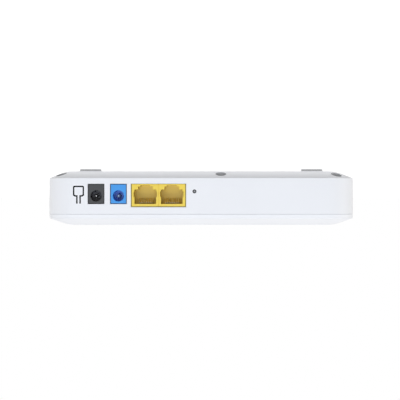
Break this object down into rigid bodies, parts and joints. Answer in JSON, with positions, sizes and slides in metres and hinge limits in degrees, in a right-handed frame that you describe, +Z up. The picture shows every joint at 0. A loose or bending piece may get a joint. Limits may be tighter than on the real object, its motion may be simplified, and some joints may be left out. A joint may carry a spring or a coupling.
{
  "type": "optical network terminal",
  "caption": "Flat white desktop fibre terminal: two-part case with sloping bands, rear power, optical and double network sockets, and a reset pinhole with a sprung button.",
  "frame": {"origin": "middle of the footprint, level with the soles of the rubber feet", "axes": "+X along the width (longest side), -Y is the way the sockets face, +Z up through the top cover"},
  "size_m": [0.1736, 0.12, 0.0318],
  "materials": {
    "case_white": "fine satin moulded surface",
    "foot_grey": "matte",
    "screw_steel": "zinc plated",
    "board_green": "solder mask",
    "socket_black": "satin",
    "socket_blue": "satin",
    "socket_yellow": "satin",
    "pin_nickel": "polished nickel",
    "contact_steel": "tin plated",
    "contact_gold": "gold plated",
    "sleeve_blue": "satin",
    "ferrule_white": "polished zirconia",
    "optic_metal": "turned",
    "can_gold": "gold plated",
    "shield_tin": "tin plate",
    "chip_black": "moulded epoxy",
    "button_grey": "satin",
    "sink_aluminium": "bead blasted",
    "pad_grey": "soft silicone",
    "ferrite_grey": "sintered ferrite",
    "capacitor_metal": "satin",
    "ceramic_tan": "fired ceramic",
    "led_white": "moulded",
    "guide_clear": "clear polycarbonate"
  },
  "bodies": {
    "case": {"base_shell": "case_white", "top_cover": "case_white", "rubber_feet": "foot_grey", "case_screws": "screw_steel", "pcb": "board_green", "pcb_screws": "screw_steel", "dc_jack_housing": "socket_black", "dc_jack_pin": "pin_nickel", "dc_jack_contact": "contact_steel", "dc_jack_terminal": "contact_steel", "optical_housing": "socket_blue", "optical_sleeve": "sleeve_blue", "optical_ferrule": "ferrule_white", "bosa_body": "optic_metal", "laser_can": "can_gold", "photodiode_can": "can_gold", "bosa_leads": "contact_gold", "optics_shield": "shield_tin", "lan_jack_housing": "socket_yellow", "lan_contacts": "contact_gold", "lan_transformers": "chip_black", "transformer_leads": "contact_steel", "reset_switch_body": "chip_black", "reset_switch_frame": "contact_steel", "system_chip": "chip_black", "thermal_pad": "pad_grey", "heat_sink": "sink_aluminium", "memory_chip": "chip_black", "flash_chip": "chip_black", "laser_driver_chip": "chip_black", "converter_chips": "chip_black", "chip_leads": "contact_steel", "power_inductors": "ferrite_grey", "power_capacitors": "capacitor_metal", "capacitor_seats": "chip_black", "clock_crystal": "contact_steel", "status_leds": "led_white", "light_guide": "guide_clear", "ceramic_capacitors": "ceramic_tan", "chip_resistors": "chip_black"},
    "reset": {"reset_button": "button_grey"}
  },
  "joints": [
    {"name": "reset_press", "type": "slide", "parent": "case", "child": "reset", "axis": [0, 1, 0], "range_m": [0, 0.00025], "stiffness_N_per_m": 6000, "springref_m": -0.0001}
  ]
}
